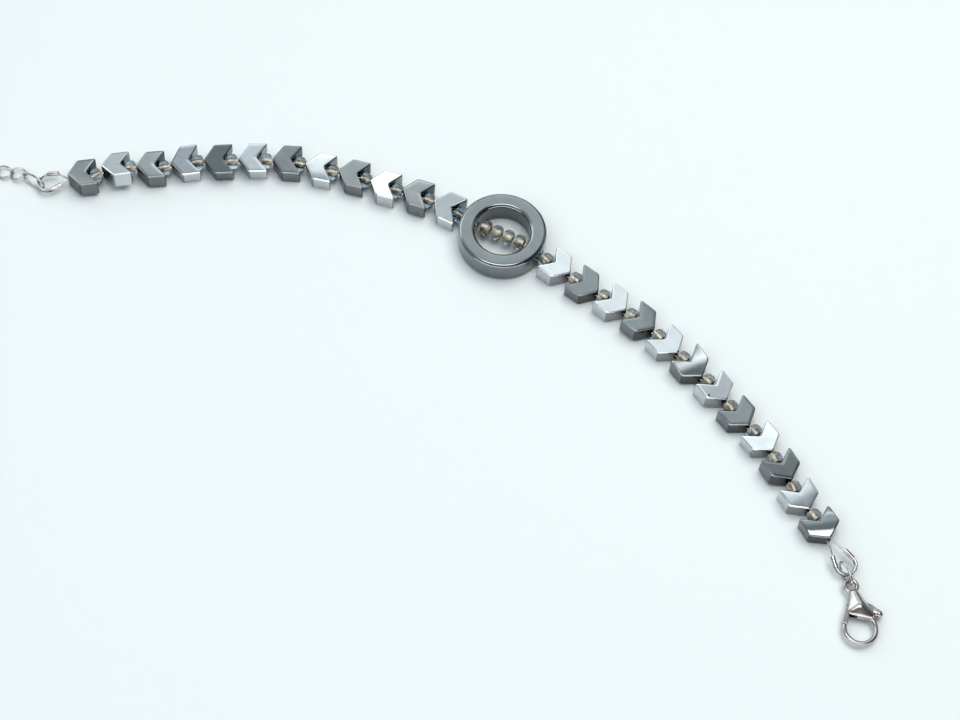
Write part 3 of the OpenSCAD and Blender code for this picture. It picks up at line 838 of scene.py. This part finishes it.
pin = rounded_copy("clasp_pin", swell=0, levels=0, join=CLASP_JOIN)
finish_piece(pin, "clasp_pin_steel", steel, "bracelet", "clasp_steel", "clasp_pin")

take(lever)
bpy.ops.object.shade_smooth()
finish_piece(lever, "clasp_lever_steel", steel, "lever", "clasp_steel", "clasp_lever")


# Table and studio
# A pale, very slightly blue table, lit by two lamps of its own. The polish mirrors a room that is bright
# behind and overhead, dim between and dark where the photographer stands, and two lamps that light
# nothing else: a soft strip overhead and a long low one in front.
TABLE = (0.66, 0.693, 0.7, 1)
TABLE_WIDE = 3
TABLE_BELOW = 0.01 * MM
TABLE_ROUGH = 0.9
TABLE_GLOSS = 0.1
# The room's red beside its green
ROOM_RED = 0.93
# Angle up from the far horizon over the zenith to the near one, brightness and share of blue
ROOM = [
    (0, 0.3, 1), (20, 0.35, 1), (27, 1.2, 1.04), (40, 1.25, 1.02), (44.5, 1.75, 1), (46.5, 2.7, 1),
    (48.5, 2.1, 1), (50.5, 1.3, 1), (54, 1.18, 1.01), (61, 1.1, 1.02), (64, 0.8, 1.04), (68, 0.56, 1.06),
    (78.5, 0.45, 1.06), (100, 0.3, 0.95), (135, 0.22, 0.9), (180, 0.25, 1),
]
# Sine of the angle to the left and right, and how much of the brightness is left there
WALLS = [
    (-1, 1), (-0.6, 1.6), (-0.34, 1.5), (-0.27, 0.58), (-0.175, 0.6), (-0.15, 1),
    (0.15, 1), (0.175, 0.6), (0.28, 0.55), (0.34, 0.6), (0.45, 0.25), (0.9, 0.25), (1, 0.5),
]
# The two lamps that light the table: place, width, power and colour
TABLE_LAMPS = [
    ((0.2, 0.17, 0.75), 0.7, 5.5, (1, 0.98, 0.95)),
    ((-0.3, -0.25, 0.6), 0.6, 1.7, (0.72, 0.87, 1)),
]
# The two lamps that the polish mirrors: place, width, height and power
STRIP_AT = (0, -0.035, 1)
STRIP_SIZE = (0.8, 0.54)
STRIP_POWER = 5.8
STRIP_FADE = 0.25
FRONT_AT = (0, -0.55, 0.21)
FRONT_SIZE = (1.6, 0.32)
FRONT_POWER = 3.2
BLACK = (0, 0, 0, 1)
WHITE = (1, 1, 1, 1)


def lamp(place, shape, width, power):
    """Hangs a lamp in the studio, shining straight down."""
    bpy.ops.object.light_add(type="AREA", location=place)
    light = bpy.context.object
    light.data.shape = shape
    light.data.size = width
    light.data.energy = power
    return light


bpy.ops.mesh.primitive_plane_add(size=TABLE_WIDE, location=(0, 0, -TABLE_BELOW))
table = bpy.context.object
table.name = "table"
paper = bpy.data.materials.new("pale table")
paper.use_nodes = True
shader = paper.node_tree.nodes["Principled BSDF"]
shader.inputs["Base Color"].default_value = TABLE
shader.inputs["Roughness"].default_value = TABLE_ROUGH
shader.inputs["Specular IOR Level"].default_value = TABLE_GLOSS
table.data.materials.append(paper)

room = bpy.data.worlds.new("studio")
bpy.context.scene.world = room
room.use_nodes = True
tree = room.node_tree
look = tree.nodes.new("ShaderNodeTexCoord")
parts = tree.nodes.new("ShaderNodeSeparateXYZ")
tree.links.new(look.outputs["Generated"], parts.inputs["Vector"])
arc = tree.nodes.new("ShaderNodeMath")
arc.operation = "ARCTAN2"
tree.links.new(parts.outputs["Z"], arc.inputs[0])
tree.links.new(parts.outputs["Y"], arc.inputs[1])
share = tree.nodes.new("ShaderNodeMath")
share.operation = "DIVIDE"
share.inputs[1].default_value = pi
tree.links.new(arc.outputs["Value"], share.inputs[0])
band_stops = [
    (angle / 180, (ROOM_RED * bright / blue, bright, bright * blue, 1)) for angle, bright, blue in ROOM
]
wall_stops = [((sine + 1) / 2, (kept, kept, kept, 1)) for sine, kept in WALLS]
bands = tones(tree, share.outputs["Value"], band_stops)
walls = tones(tree, spread(tree, parts.outputs["X"], 0, 1, -1, 1), wall_stops)
tree.links.new(multiplied(tree, bands, walls), tree.nodes["Background"].inputs["Color"])
tree.nodes["Background"].inputs["Strength"].default_value = 1

for place, width, power, colour in TABLE_LAMPS:
    light = lamp(place, "DISK", width, power)
    light.data.color = colour
    light.rotation_euler = (-light.location).to_track_quat("-Z", "Y").to_euler()
    light.visible_glossy = False
    light.visible_transmission = False

strip = lamp(STRIP_AT, "RECTANGLE", STRIP_SIZE[0], STRIP_POWER)
strip.data.size_y = STRIP_SIZE[1]
strip.visible_diffuse = False
strip.data.use_nodes = True
tree = strip.data.node_tree
cloth = tree.nodes.new("ShaderNodeNewGeometry")
sides = tree.nodes.new("ShaderNodeSeparateXYZ")
tree.links.new(cloth.outputs["Parametric"], sides.inputs["Vector"])
fade_stops = [(0, BLACK), (STRIP_FADE, WHITE), (1 - STRIP_FADE, WHITE), (1, BLACK)]
fades = [tones(tree, sides.outputs[axis], fade_stops) for axis in ("X", "Y")]
for fade in fades:
    fade.node.color_ramp.interpolation = "EASE"
tree.links.new(multiplied(tree, *fades), tree.nodes["Emission"].inputs["Color"])

front = lamp(FRONT_AT, "RECTANGLE", FRONT_SIZE[0], FRONT_POWER)
front.data.size_y = FRONT_SIZE[1]
front.rotation_euler = (pi / 2, 0, 0)
front.visible_diffuse = False

bpy.context.scene.view_settings.view_transform = "Standard"
